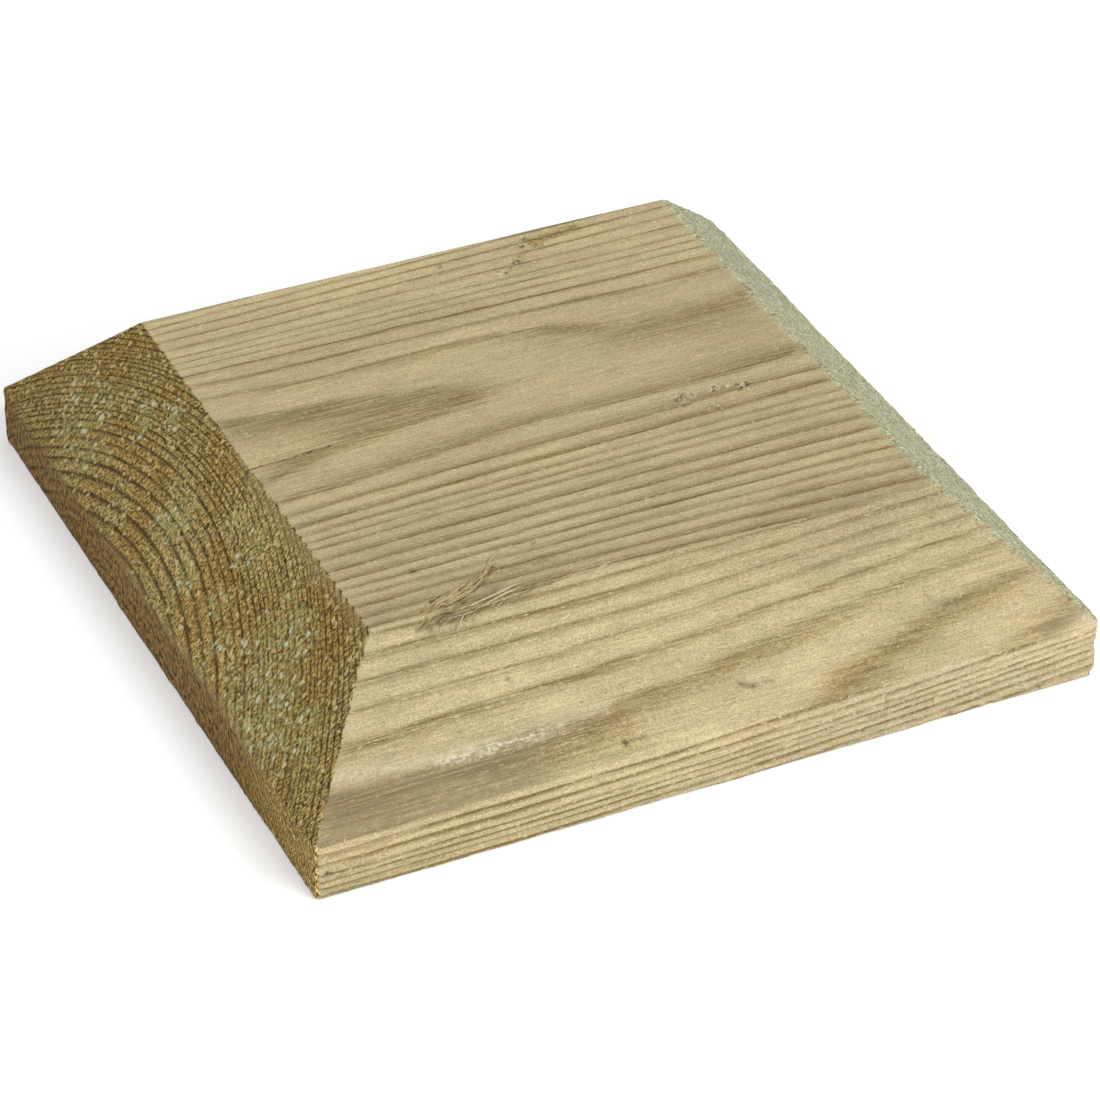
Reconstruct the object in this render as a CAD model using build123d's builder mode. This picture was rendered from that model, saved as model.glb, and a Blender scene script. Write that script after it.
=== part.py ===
from build123d import *
import os

# Post cap: one square block of sawn softwood with a flat top and four sloping bevels
# Millimetres. X runs along the grain, Z is up, the origin is the centre of the flat underside

# Block
length = 120.0           # along the grain, from the left end to the right end
width = 120.0            # across the grain, from the front face to the back face
height = 27.0            # underside to the flat top
wall_height = 9.0        # upright band of the sides, below the bevels

# How far each bevel reaches in from its side, measured in plan
left_run = 16.0
right_run = 18.0
front_run = 18.0
back_run = 18.0

# Eased arrises
left_arris = 0.8         # upright corners and hips at the crisp left end
right_arris = 2.0        # upright corners and hips at the worn right end
rim_arris = 0.5          # edge of the flat top
shoulder_arris = 0.8     # line where a bevel meets the wall
foot_arris = 0.4         # edge of the underside

# Torn grain on the front edge of the flat top, a long scoop shaped like a spindle
tear_length = 26.0       # tip to tip of the spindle
tear_radius = 3.0        # of the spindle at its middle
tear_depth = 0.6         # how deep it bites below the flat top
tear_from_left = 31.0    # middle of the tear, from the left end of the block

# Shallow nick that crosses the upright corner at the front right
nick_radius = 2.4        # of the round groove
nick_depth = 0.35        # how deep it bites into the rounded corner
nick_height = 4.9        # above the underside

left_end = -length / 2
right_end = length / 2
front_face = -width / 2
back_face = width / 2


def eased_rectangle(x_from, x_to, y_from, y_to):
    """Draw a rectangle whose left corners are crisp and whose right corners are worn."""
    with Locations(((x_from + x_to) / 2, (y_from + y_to) / 2)):
        Rectangle(x_to - x_from, y_to - y_from)
    fillet(vertices().group_by(Axis.X)[0], left_arris)
    fillet(vertices().group_by(Axis.X)[-1], right_arris)


with BuildPart() as post_cap:
    # Upright wall of the block
    with BuildSketch():
        eased_rectangle(left_end, right_end, front_face, back_face)
    extrude(amount=wall_height)

    # Four bevels that rise from the top of the wall to the flat top and meet in hips
    with BuildSketch(Plane.XY.offset(wall_height)):
        eased_rectangle(left_end, right_end, front_face, back_face)
    with BuildSketch(Plane.XY.offset(height)):
        eased_rectangle(
            left_end + left_run,
            right_end - right_run,
            front_face + front_run,
            back_face - back_run,
        )
    loft(ruled=True)

    # Ease the level edges: the groups go up from the underside to the flat top
    fillet(edges().group_by(Axis.Z)[-1], rim_arris)
    fillet(edges().group_by(Axis.Z)[2], shoulder_arris)
    fillet(edges().group_by(Axis.Z)[0], foot_arris)

    # Torn grain: a spindle that lies along the front edge of the flat top
    tear_middle = left_end + tear_from_left
    tear_axis_height = height + tear_radius - tear_depth
    with BuildSketch(Plane.XZ.offset(-(front_face + front_run))):
        with BuildLine():
            spindle_axis = Line(
                (tear_middle - tear_length / 2, tear_axis_height),
                (tear_middle + tear_length / 2, tear_axis_height),
            )
            SagittaArc(spindle_axis @ 0, spindle_axis @ 1, tear_radius)
        make_face()
    revolve(
        axis=Axis((tear_middle, front_face + front_run, tear_axis_height), (1, 0, 0)),
        mode=Mode.SUBTRACT,
    )

    # Nick: a level round groove square to the diagonal of the front right corner
    corner_setback = right_arris * (2**0.5 - 1)
    nick_inset = (corner_setback + nick_depth - nick_radius) / 2**0.5
    nick_plane = Plane(
        origin=(right_end - nick_inset, front_face + nick_inset, nick_height),
        z_dir=(1, 1, 0),
    )
    with Locations(nick_plane):
        Cylinder(nick_radius, 8 * nick_radius, mode=Mode.SUBTRACT)

post_cap.part.label = "post_cap"

os.makedirs("parts", exist_ok=True)
export_step(post_cap.part, "parts/post_cap.step")
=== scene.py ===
"""Square timber post cap: sawn softwood with its growth rings, saw marks and torn grain."""

import math
from itertools import product

import bpy
import numpy as np
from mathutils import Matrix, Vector


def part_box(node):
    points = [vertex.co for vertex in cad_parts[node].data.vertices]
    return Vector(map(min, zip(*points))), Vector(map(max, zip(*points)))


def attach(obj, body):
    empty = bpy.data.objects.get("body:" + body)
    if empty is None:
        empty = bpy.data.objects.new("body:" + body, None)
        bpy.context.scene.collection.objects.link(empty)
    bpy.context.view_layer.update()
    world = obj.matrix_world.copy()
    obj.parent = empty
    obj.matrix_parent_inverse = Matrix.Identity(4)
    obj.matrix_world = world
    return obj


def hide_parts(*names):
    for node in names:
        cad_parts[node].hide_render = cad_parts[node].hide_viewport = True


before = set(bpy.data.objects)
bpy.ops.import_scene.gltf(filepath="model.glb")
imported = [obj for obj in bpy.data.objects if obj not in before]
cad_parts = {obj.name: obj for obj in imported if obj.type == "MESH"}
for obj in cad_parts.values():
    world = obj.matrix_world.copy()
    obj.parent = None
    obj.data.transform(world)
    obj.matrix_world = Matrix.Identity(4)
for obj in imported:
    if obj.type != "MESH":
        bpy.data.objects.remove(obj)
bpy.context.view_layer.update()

# Lengths are in millimetres up to the point where a mesh is made
MM = 0.001

# Block, from the solid that it dresses
block_low, block_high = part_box("post_cap")
LEFT, FRONT = block_low.x / MM, block_low.y / MM
RIGHT, BACK = block_high.x / MM, block_high.y / MM
TOP = block_high.z / MM
SHOULDER = 9.0

# How far each bevel reaches in; the front one was sawn a little askew
LEFT_RUN = 16.0
RIGHT_RUN = 18.0
BACK_RUN = 18.0
FRONT_RUN = 18.0
FRONT_RUN_AT_LEFT = 18.8
FRONT_RUN_AT_RIGHT = 17.3
RISE = TOP - SHOULDER

# Ends of the flat top
TOP_LEFT = LEFT + LEFT_RUN
TOP_RIGHT = RIGHT - RIGHT_RUN

# Arris radii
CRISP_CORNER = 0.9
WORN_CORNER = 1.5
HIP = 0.7
RIM = 0.35
SHOULDER_EDGE = 0.8
FOOT_EDGE = 0.4

# How far two faces are blended for an arris of radius 1: square ones, hips and level blunt edges
SQUARE_REACH = 1.17
HIP_REACH = 0.61
BLUNT_REACH = 0.34

# Mesh: cells along and across the flat top, rows of cells down the bevels and the walls
ALONG_CELLS = 200
ACROSS_CELLS = 184
BEVEL_ROWS = 42
WALL_ROWS = 18
UNDER_INSET = 0.9        # width of the outermost cells of the underside

# Where the cells are finer: (middle, spread, strength), as x along the top and otherwise as shares
ALONG_CROWDS = ((TOP_LEFT, 1, 1.6), (TOP_RIGHT, 1.6, 1.2), (-28, 10, 0.6), (16, 4, 0.5), (25, 5, 0.5))
ACROSS_CROWDS = (
    (0, 0.02, 1.6), (1, 0.02, 1), (0.505, 0.012, 1.4),
    (0.07, 0.06, 0.6), (0.38, 0.03, 0.6), (0.95, 0.05, 0.5),
)
BEVEL_CROWDS = ((0, 0.03, 2), (1, 0.04, 2))
WALL_CROWDS = ((0, 0.08, 1), (1, 0.08, 1.6))

# Pith of the tree, below the block, and the levels of the outer boundaries of its growth rings.
# A ring's level is its height on the middle plane of the block, straight above the pith
PITH_Y = 5.0
PITH_Z = -65.0
RING_TOPS = (
    -3.5, -1.7, 0.1, 1.9, 3.7, 5.6, 7.5, 9.3, 11, 12.9, 14.7, 16.45, 17.8, 19.05, 20.25,
    21.35, 22.2, 22.85, 23.4, 24.05, 24.6, 25.4, 26.2, 27, 27.83, 28.35, 28.9, 29.35,
    29.75, 30.15, 30.85, 31.55, 32.25, 32.85, 33.45, 34.1, 34.8, 35.4, 36.05, 36.7, 37.4,
)

# Places where the rings swell outwards: (x, y, spread along, spread across, lift)
SWELLINGS = (
    (25, 10.5, 20, 7, 0.45), (-8, -5.5, 20, 4, 0.22), (-30, 17.5, 16, 4, 0.18), (-46, -3.5, 9, 3, -0.14),
    (45, -48, 38, 7, -0.45), (10, -59, 50, 6, 0.22), (-52, -50, 14, 6, 0.1),
)


def noise(points, spacing, seed):
    """Return smooth noise from -1 to 1 at each point, drawn on a lattice of that spacing."""
    cell = points / spacing
    base = np.floor(cell).astype(np.int64)
    part = cell - base
    eased = part * part * (3 - 2 * part)
    total = np.zeros(len(points))
    for corner in product((0, 1), repeat=3):
        node = base + corner
        key = (node * (73856093, 19349663, 83492791)).sum(axis=1) + seed * 1013904223
        key = (key ^ (key >> 15)) & 0x7FFFFFFF
        key = (key * 1103515245 + 12345) & 0x7FFFFFFF
        key = (key ^ (key >> 13)) * 668265263 & 0x7FFFFFFF
        value = ((key >> 9) & 0xFFFF) / 32767.5 - 1
        total += value * np.where(corner, eased, 1 - eased).prod(axis=1)
    return total


def ease(low, high, value):
    """Ease from 0 at low to 1 at high."""
    part = np.clip((value - low) / (high - low), 0, 1)
    return part * part * (3 - 2 * part)


def bell(value):
    """Return 1 at 0, falling off evenly to almost nothing at 2 on both sides."""
    return np.exp(-(value**2))


def unit(vectors):
    """Scale each vector to a length of 1."""
    return vectors / np.linalg.norm(vectors, axis=1)[:, None]


def humps(x, y, table):
    """Return the sum of the soft humps in a table of (x, y, spread along, spread across, lift)."""
    total = np.zeros(len(x))
    for middle_x, middle_y, spread_x, spread_y, lift in table:
        total += lift * bell((x - middle_x) / spread_x) * bell((y - middle_y) / spread_y)
    return total


def ring_level(points):
    """Return how far up the ring through each point crosses the middle of the block."""
    x, y, z = points.T
    half_side, half_rise = 60, 18
    dy = y - PITH_Y
    across = dy / half_side
    along = x / half_side
    lift = (z - half_rise) / half_rise
    level = np.hypot(dy, z - PITH_Z) + PITH_Z
    # The tree was wider to one side of its pith and leant a little along the block
    level += across * (-1.452 - 0.081 * along + 2.095 * lift)
    level += across**2 * (-2.169 * along - 3.317 * lift + 0.042 * along**2)
    level += across**3 * (1.445 - 0.925 * along)
    level += across**4 * -3.435
    level += along * (0.446 - 0.12 * along) + 0.277 * across * along**2
    return level + humps(x, y, SWELLINGS)


# Surface of the block


def graded(start, stop, cells, crowds):
    """Return cells + 1 values from start to stop, closer together about each crowd."""
    fine = np.linspace(start, stop, 4001)
    density = np.ones_like(fine)
    for middle, spread, strength in crowds:
        density += strength * bell((fine - middle) / spread)
    reach = np.concatenate(([0], np.cumsum((density[1:] + density[:-1]) / 2)))
    return np.interp(np.linspace(0, reach[-1], cells + 1), reach, fine)


def front_rim(x):
    """Return where the front edge of the flat top lies at x."""
    share = (x - TOP_LEFT) / (TOP_RIGHT - TOP_LEFT)
    return FRONT + FRONT_RUN_AT_LEFT + (FRONT_RUN_AT_RIGHT - FRONT_RUN_AT_LEFT) * share


def edge_steps(cells_x, cells_y):
    """Return the steps round the edge of a grid, anticlockwise from its front left corner."""
    steps = [(i, 0) for i in range(cells_x)]
    steps += [(cells_x, j) for j in range(cells_y)]
    steps += [(i, cells_y) for i in range(cells_x, 0, -1)]
    steps += [(0, j) for j in range(cells_y, 0, -1)]
    return np.array(steps)


def sharp_block():
    """Return the vertices and faces of the block with sharp arrises, as one closed grid."""
    along = graded(TOP_LEFT, TOP_RIGHT, ALONG_CELLS, ALONG_CROWDS)
    along = (along - TOP_LEFT) / (TOP_RIGHT - TOP_LEFT)
    across = graded(0, 1, ACROSS_CELLS, ACROSS_CROWDS)
    nx, ny = ALONG_CELLS, ACROSS_CELLS

    x = TOP_LEFT + (TOP_RIGHT - TOP_LEFT) * along
    rim = front_rim(x)
    grid_y = rim[:, None] + (BACK - BACK_RUN - rim[:, None]) * across[None, :]
    grid_x = np.repeat(x[:, None], ny + 1, axis=1)
    plateau = np.stack((grid_x, grid_y, np.full_like(grid_x, TOP)), axis=-1).reshape(-1, 3)

    edge = edge_steps(nx, ny)
    count = len(edge)
    rim_loop = edge[:, 0] * (ny + 1) + edge[:, 1]
    foot_x = LEFT + (RIGHT - LEFT) * along[edge[:, 0]]
    foot_y = FRONT + (BACK - FRONT) * across[edge[:, 1]]
    shoulder = np.stack((foot_x, foot_y, np.full(count, SHOULDER)), axis=1)
    foot = shoulder * (1, 1, 0)

    vertices = [plateau]
    faces = []
    for i, j in product(range(nx), range(ny)):
        first = i * (ny + 1) + j
        faces.append((first, first + ny + 1, first + ny + 2, first + 1))

    def add_rows(upper_loop, upper, lower, steps):
        """Add rows of cells from the loop above down to the lower edge, and return the lowest loop."""
        loop = upper_loop
        for step in steps[1:]:
            start = sum(len(block) for block in vertices)
            vertices.append(upper + (lower - upper) * step)
            new_loop = np.arange(start, start + count)
            for k in range(count):
                after = (k + 1) % count
                faces.append((loop[k], new_loop[k], new_loop[after], loop[after]))
            loop = new_loop
        return loop

    bevel_steps = graded(0, 1, BEVEL_ROWS, BEVEL_CROWDS)
    wall_steps = graded(0, 1, WALL_ROWS, WALL_CROWDS)
    shoulder_loop = add_rows(rim_loop, plateau[rim_loop], shoulder, bevel_steps)
    foot_loop = add_rows(shoulder_loop, shoulder, foot, wall_steps)

    # Underside, a grid with half as many cells each way
    start = sum(len(block) for block in vertices)
    half_x, half_y = nx // 2, ny // 2
    low_x = LEFT + UNDER_INSET + (RIGHT - LEFT - 2 * UNDER_INSET) * along[::2]
    low_y = FRONT + UNDER_INSET + (BACK - FRONT - 2 * UNDER_INSET) * across[::2]
    under = np.zeros((half_x + 1, half_y + 1, 3))
    under[:, :, 0] = low_x[:, None]
    under[:, :, 1] = low_y[None, :]
    vertices.append(under.reshape(-1, 3))
    for i, j in product(range(half_x), range(half_y)):
        first = start + i * (half_y + 1) + j
        faces.append((first, first + 1, first + half_y + 2, first + half_y + 1))
    low_edge = edge_steps(half_x, half_y)
    low_loop = start + low_edge[:, 0] * (half_y + 1) + low_edge[:, 1]
    for k in range(len(low_loop)):
        outer = [foot_loop[(2 * k + step) % count] for step in range(3)]
        inner = [low_loop[k], low_loop[(k + 1) % len(low_loop)]]
        faces.append((outer[0], inner[0], outer[1]))
        faces.append((outer[1], inner[0], inner[1], outer[2]))
    return np.concatenate(vertices), faces


def smooth_max(first, second, reach):
    """Join two (distance, gradient) fields into the field of what lies inside both, rounded over reach."""
    share = np.clip(0.5 + 0.5 * (first[0] - second[0]) / reach, 0, 1)
    distance = second[0] + (first[0] - second[0]) * share + reach * share * (1 - share)
    gradient = second[1] + (first[1] - second[1]) * share[:, None]
    return distance, gradient


def higher(first, second):
    """Take the larger of two (distance, gradient) fields, with no rounding."""
    pick = first[0] > second[0]
    return np.where(pick, first[0], second[0]), np.where(pick[:, None], first[1], second[1])


def plane(points, normal, offset):
    """Return the (distance, gradient) field of a plane."""
    normal = np.broadcast_to(np.asarray(normal, dtype=float), points.shape)
    return (points * normal).sum(axis=1) - offset, normal


def bevel(points, out_x, out_y, run):
    """Return the field of a bevel that faces out_x, out_y and reaches in by run from its shoulder."""
    run = np.broadcast_to(run, len(points))
    slope = np.hypot(RISE, run)
    normal = np.stack((out_x * RISE / slope, out_y * RISE / slope, run / slope), axis=1)
    edge = np.array((out_x * RIGHT, out_y * BACK, SHOULDER))
    return ((points - edge) * normal).sum(axis=1), normal


def block_surface(points, wear):
    """Return the (distance, gradient) field of the block with its arrises eased; wear scales the radii."""
    side = ease(-20, 50, points[:, 0])
    worn = (WORN_CORNER - HIP) * side * ease(SHOULDER + 5, SHOULDER, points[:, 2])
    corner = CRISP_CORNER + (WORN_CORNER - CRISP_CORNER) * side
    walls = smooth_max(
        higher(plane(points, (-1, 0, 0), -LEFT), plane(points, (1, 0, 0), RIGHT)),
        higher(plane(points, (0, -1, 0), -FRONT), plane(points, (0, 1, 0), BACK)),
        SQUARE_REACH * corner * (1 + 0.4 * (wear - 1)),
    )
    slopes = smooth_max(
        higher(bevel(points, -1, 0, LEFT_RUN), bevel(points, 1, 0, RIGHT_RUN)),
        higher(bevel(points, 0, -1, front_rim(points[:, 0]) - FRONT), bevel(points, 0, 1, BACK_RUN)),
        HIP_REACH * (HIP * wear + worn),
    )
    field = smooth_max(walls, slopes, BLUNT_REACH * SHOULDER_EDGE * wear)
    rim = BLUNT_REACH * RIM * (1 + 1.2 * side) * wear
    field = smooth_max(field, plane(points, (0, 0, 1), TOP), rim)
    return smooth_max(field, plane(points, (0, 0, -1), 0), SQUARE_REACH * FOOT_EDGE * wear)


def settle(points, wear):
    """Move points onto the eased block and return them with the normals there."""
    for _ in range(4):
        distance, gradient = block_surface(points, wear)
        points = points - gradient * (distance / (gradient**2).sum(axis=1))[:, None]
    return points, unit(block_surface(points, wear)[1])


# Marks of sawing, tearing and handling


def down_slope(points, run):
    """Return how far down the slope of a bevel with that run each point lies."""
    return (TOP - points[:, 2]) * math.hypot(run, RISE) / RISE


def distance_to_path(x, y, path):
    """Return how far each point lies from a path of straight runs, and its place on it, from 0 to 1."""
    path = np.array(path, dtype=float)
    runs = np.diff(path, axis=0)
    lengths = np.hypot(*runs.T)
    best = np.full(len(x), np.inf)
    along = np.zeros(len(x))
    walked = 0
    for start, run, length in zip(path, runs, lengths):
        part = np.clip(((x - start[0]) * run[0] + (y - start[1]) * run[1]) / length**2, 0, 1)
        gap = np.hypot(x - start[0] - part * run[0], y - start[1] - part * run[1])
        nearer = gap < best
        best = np.where(nearer, gap, best)
        along = np.where(nearer, (walked + part * length) / lengths.sum(), along)
        walked += length
    return best, along


def groove(x, y, path, half_width):
    """Return a groove along a path, 1 at its middle and 0 past half_width, that fades out at both ends."""
    gap, along = distance_to_path(x, y, path)
    return ease(half_width, 0.15 * half_width, gap) * ease(0, 0.12, along * (1 - along) * 4)


def hollow(x, y, centre, radius):
    """Return a round hollow, 1 at its middle and 0 past the radius."""
    return ease(radius, 0, np.hypot(x - centre[0], y - centre[1]))


# On the flat top, as x and y: (path, half width, depth, darkness)
TOP_GROOVES = (
    (((-46, 0.1), (-42, 0.4), (-38, 0.5), (-34.5, 0.8), (-31, 1)), 0.26, 0.3, 1.15),
    # The next four grooves run along and under torn strands: their darkening is painted shade beneath the
    # strands
    (((-34.2, -38.8), (-32.3, -38.3), (-30.4, -37.6)), 0.35, 0.3, 0.9),
    (((-32.8, -40.5), (-31.2, -40), (-29.3, -39.5)), 0.3, 0.3, 0.9),
    (((-28.1, -38.9), (-26.6, -38.1), (-25.5, -37.3)), 0.35, 0.3, 0.9),
    (((-15.9, -32.3), (-15.3, -31.9), (-14.8, -31.6)), 0.3, 0.2, 0.7),
    (((17.5, 37.5), (18.1, 37.8), (18.9, 38.1)), 0.35, 0.25, 0.9),
)

# On the flat top: (centre, radius, depth, darkness)
TOP_HOLLOWS = (
    ((17.3, 40.3), 0.8, 0.35, 0.75), ((15.95, 38.3), 0.6, 0.35, 0.95), ((13, 34.8), 0.6, 0.35, 0.95),
    ((13.9, 34.3), 0.6, 0.3, 0.75), ((10.6, 32.3), 0.5, 0.2, 0.75), ((2.55, 38.1), 0.9, 0.1, 0.3),
    ((18.45, -8.6), 0.7, 0.35, 1), ((18.7, -10.3), 0.6, 0.15, 0.6), ((28.1, -8.7), 0.6, 0.25, 0.9),
    ((28, -9.8), 0.6, 0.25, 0.9), ((29.7, -9.1), 0.7, 0.25, 0.9), ((-33.3, -31.4), 1, 0.12, 0.85),
)

# In the bed of the tear: (centre, radius, depth, darkness)
TEAR_HOLLOWS = (
    ((-32.6, -42), 1.4, 0.45, 0.85), ((-35.6, -42.6), 0.9, 0.25, 0.7), ((-34.2, -42.3), 0.9, 0.3, 0.6),
    ((-30.6, -42.5), 0.9, 0.3, 0.7), ((-29.9, -40.6), 0.8, 0.25, 0.7), ((-29.5, -42.7), 0.8, 0.25, 0.5),
    ((-21, -41.6), 0.7, 0.2, 0.5), ((-17.5, -41.4), 0.6, 0.2, 0.5),
)

# On the flat top, where small chips have lifted: (centre, radius, share)
TOP_SCUFFS = (
    ((17.3, 40.2), 0.9, 0.7), ((16.2, 38.3), 0.9, 1), ((13.5, 35), 1.2, 1), ((18.8, 37.4), 1.4, 0.8),
    ((9.6, 32.4), 1.6, 0.6), ((2.6, 38.1), 1.2, 0.5), ((-1.7, 32.2), 1.2, 0.6), ((12, 33.4), 1.2, 0.5),
    ((19.6, -8.3), 1.8, 0.9), ((21.2, -8.4), 1.2, 0.8), ((19.2, -10.3), 1.3, 0.8), ((24.4, -8.3), 1.7, 1),
    ((26.4, -8.6), 1.3, 0.8), ((28.9, -9.1), 1.9, 1), ((22.5, -12.5), 2.2, 0.6), ((8.5, -25.6), 1.3, 0.5),
)

# On the flat top, where the wood is darker by nature: (path, half width, brownness)
TOP_STAINS = (
    (((17, 38.8), (19.5, 39), (22, 39.4), (26.5, 40)), 1.5, 1.4),
    (((16.4, 37.2), (15.2, 36.2), (13.8, 35.1)), 0.9, 0.6),
    (((12.4, 33.8), (10.2, 32)), 0.7, 0.5),
    (((-26, -36), (-20.5, -35.8), (-14, -36.2)), 1.8, 0.5),
)

# On the left bevel, where green and white growth is thickest: (y, way down the slope, spread)
GROWTH = (
    (22, 5, 3), (27, 8, 3), (40, 15, 6), (32, 19, 3), (6, 13, 4), (-5, 6, 3), (-11, 7, 3), (-25, 8, 3),
    (-13, 16, 3), (-4, 17.5, 3), (-28, 13, 6), (-35, 19, 7), (-42, 17, 5), (-18, 18, 2), (-31, 9, 4),
)

# On the front bevel, as x and the way down the slope: (path, half width, depth, darkness)
FRONT_GROOVES = (
    # The crescent dent comes first: its darkening is painted shade along its shaded edge
    (((4.6, 19.6), (5.6, 20.3), (7.2, 20.8), (9.6, 20.6)), 0.4, 0.4, 0.85),
    (((-14.6, 23), (-13.4, 23.4), (-12, 23.3), (-10.4, 23.1)), 0.5, 0.25, 0.45),
)

# On the front bevel: (centre, radius, depth, darkness)
FRONT_HOLLOWS = (
    ((-13.8, 23.3), 1, 0.3, 0.9), ((35.2, 15), 0.5, 0.1, 0.9), ((-27.2, 11.2), 0.6, 0.1, 0.9),
    ((-5.6, 22), 0.5, 0.1, 0.9), ((40.6, 5.2), 0.35, 0.1, 0.9),
)

# On the front bevel, where the wood is darker: (path, half width, brownness)
FRONT_STAINS = (
    (((-34, 21.5), (-24, 22), (-12, 21)), 3.2, 0.5),
    (((0, 17.4), (10, 16.6), (24, 15.2)), 1.2, 0.6),
    (((16, 23.8), (26, 21.2), (38, 18.6), (50, 16.6)), 2.2, 0.5),
)

# On the front wall, as x and height: (centre, radius) of nicks that are all alike
WALL_NICKS = (
    ((25.6, 5.8), 0.7), ((33.3, 4.8), 0.6), ((-58.2, 4.2), 0.8), ((36, 0.6), 0.7), ((40, 0.5), 0.6),
    ((50.5, 0.8), 0.9), ((21, 5.2), 0.5),
)
NICK_DEPTH, NICK_DARKNESS = 0.25, 0.8

# Upper edge of the grey patch at the foot of the front bevel
GREY_EDGE = ((-58, 18.2), (-40, 19.4), (-24, 19.2), (-8, 17.6), (10, 16.8))

# Bed of the tear and the flap that lifted beside it, and the cosine and sine of the way its fibres run
TEAR_BED = ((-37.8, -42.3), (-35.2, -42.1), (-31, -41.8), (-26.4, -41.4), (-14, -41))
TEAR_FLAP = ((-35.8, -40.4), (-33, -39.9), (-29.3, -38.6), (-25.6, -36.7), (-23, -35))
TEAR_COS, TEAR_SIN = 0.91, 0.42

# Where the wood of the flat top is lighter or darker: (x, y, spread along, spread across, lift)
TOP_TONES = (
    (0, 43, 200, 13, 0.14), (-5, 18, 26, 6, 0.08), (-38, 3, 11, 4, 0.13), (-9, 10.5, 12, 4, -0.06),
    (-5, -14, 20, 4, 0.05), (0, -42, 200, 7, -0.05), (-44, -38, 8, 8, -0.09), (36, -41, 20, 6, -0.06),
)


class Marks:
    """Depth to carve at each vertex, and how strongly each kind of mark shows there."""

    KINDS = ("dark", "brown", "rough", "grey", "pale", "growth", "scuff", "torn", "fade")

    def __init__(self, count):
        self.depth = np.zeros(count)
        self.shares = {kind: np.zeros(count) for kind in self.KINDS}

    def add(self, kind, share):
        """Show a kind of mark at least as strongly as the share."""
        self.shares[kind] = np.maximum(self.shares[kind], share)

    def cut(self, shape, depth, darkness=0):
        """Carve a shape to a depth, and darken it."""
        self.depth = np.maximum(self.depth, shape * depth)
        self.add("dark", shape * darkness)

    def cut_all(self, where, x, y, grooves, hollows):
        """Carve the grooves and hollows of one face, from tables of (shape, size, depth, darkness)."""
        for path, half_width, depth, darkness in grooves:
            self.cut(where * groove(x, y, path, half_width), depth, darkness)
        for centre, radius, depth, darkness in hollows:
            self.cut(where * hollow(x, y, centre, radius), depth, darkness)


def mark_flat_top(marks, points, on_top):
    """Add the cracks, pits, chips and stains of the flat top."""
    x, y = points[:, 0], points[:, 1]
    marks.cut_all(on_top, x, y, TOP_GROOVES, TOP_HOLLOWS)
    for centre, radius, share in TOP_SCUFFS:
        marks.add("scuff", on_top * hollow(x, y, centre, radius) * share)
    for path, half_width, share in TOP_STAINS:
        stain = on_top * groove(x, y, path, half_width) * share
        marks.add("brown", stain)
        marks.add("dark", stain * 0.16)


def mark_tear(marks, points, near_rim):
    """Scoop out the long tear on the front edge of the flat top, with its splintered bed and lifted flap."""
    x, y, z = points.T
    lean = np.stack((TEAR_COS * x + TEAR_SIN * y, TEAR_COS * y - TEAR_SIN * x, z), axis=1)
    splinter = noise(lean, (2.4, 0.6, 0.6), 41)

    gap, along = distance_to_path(x, y, TEAR_BED)
    width = 1.6 * np.clip(4 * along * (1 - along), 0, 1) ** 0.8 * (1.15 - 0.75 * along) + 0.05
    bed = near_rim * ease(width, 0.3 * width, gap) * ease(-43.3, -42.5, y)
    marks.cut(bed, 0.3)
    marks.depth += bed * 0.12 * splinter
    marks.add("torn", bed * ease(-16, -22, x))
    marks.add("dark", bed * np.maximum(0.2, 0.35 * ease(-22, -17, x)))
    marks.add("grey", bed * ease(-12, -24, x))

    gap, along = distance_to_path(x, y, TEAR_FLAP)
    width = 0.5 + 0.95 * np.sin(math.pi * np.clip(0.1 + 0.85 * along, 0, 1))
    flap = near_rim * ease(width, 0.45 * width, gap)
    marks.add("torn", flap)
    marks.depth += flap * (0.06 + 0.1 * splinter)

    marks.cut_all(near_rim, x, y, (), TEAR_HOLLOWS)
    marks.add("grey", near_rim * hollow(x, y, (-24.8, -39.4), 2.6))


def mark_front_bevel(marks, points, on_front):
    """Add the dents, stains and white streak of the front bevel, and a painted highlight beside the crescent
    dent.
    """
    x = points[:, 0]
    down = down_slope(points, FRONT_RUN)
    marks.add("fade", on_front * (0.5 + 0.35 * ease(-20, 10, x)))
    marks.cut_all(on_front, x, down, FRONT_GROOVES, FRONT_HOLLOWS)
    # Painted highlight: a pale strip on the lit side of the crescent dent
    dent_highlight = groove(x, down, ((5.4, 19), (6.8, 19.9), (9.2, 20)), 0.6)
    marks.add("pale", on_front * dent_highlight * 0.3)
    marks.add("brown", on_front * hollow(x, down, (-13.4, 23.4), 2) * 0.9)
    for path, half_width, share in FRONT_STAINS:
        marks.add("brown", on_front * groove(x, down, path, half_width) * share)

    band_top = np.interp(x, *zip(*GREY_EDGE))
    below = ease(band_top - 0.3, band_top + 0.8, down)
    marks.add("grey", on_front * below * ease(-20, -32, x) * 0.9)
    corner = groove(x, down, ((50, 24.6), (53, 23.8), (58.8, 22.8)), 1.5)
    marks.add("grey", on_front * corner)

    streak = groove(x, down, ((-57, 17.2), (-47, 18), (-38, 19), (-26, 19), (-14, 17.8)), 1.5)
    whitest = ease(-44, -38, x) * ease(-20, -27, x)
    marks.add("pale", on_front * streak * (0.38 + 0.42 * whitest))
    tip = ease(55.5, 58.5, x) * ease(22, 24, down)
    marks.add("pale", on_front * tip * 0.9)


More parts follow.
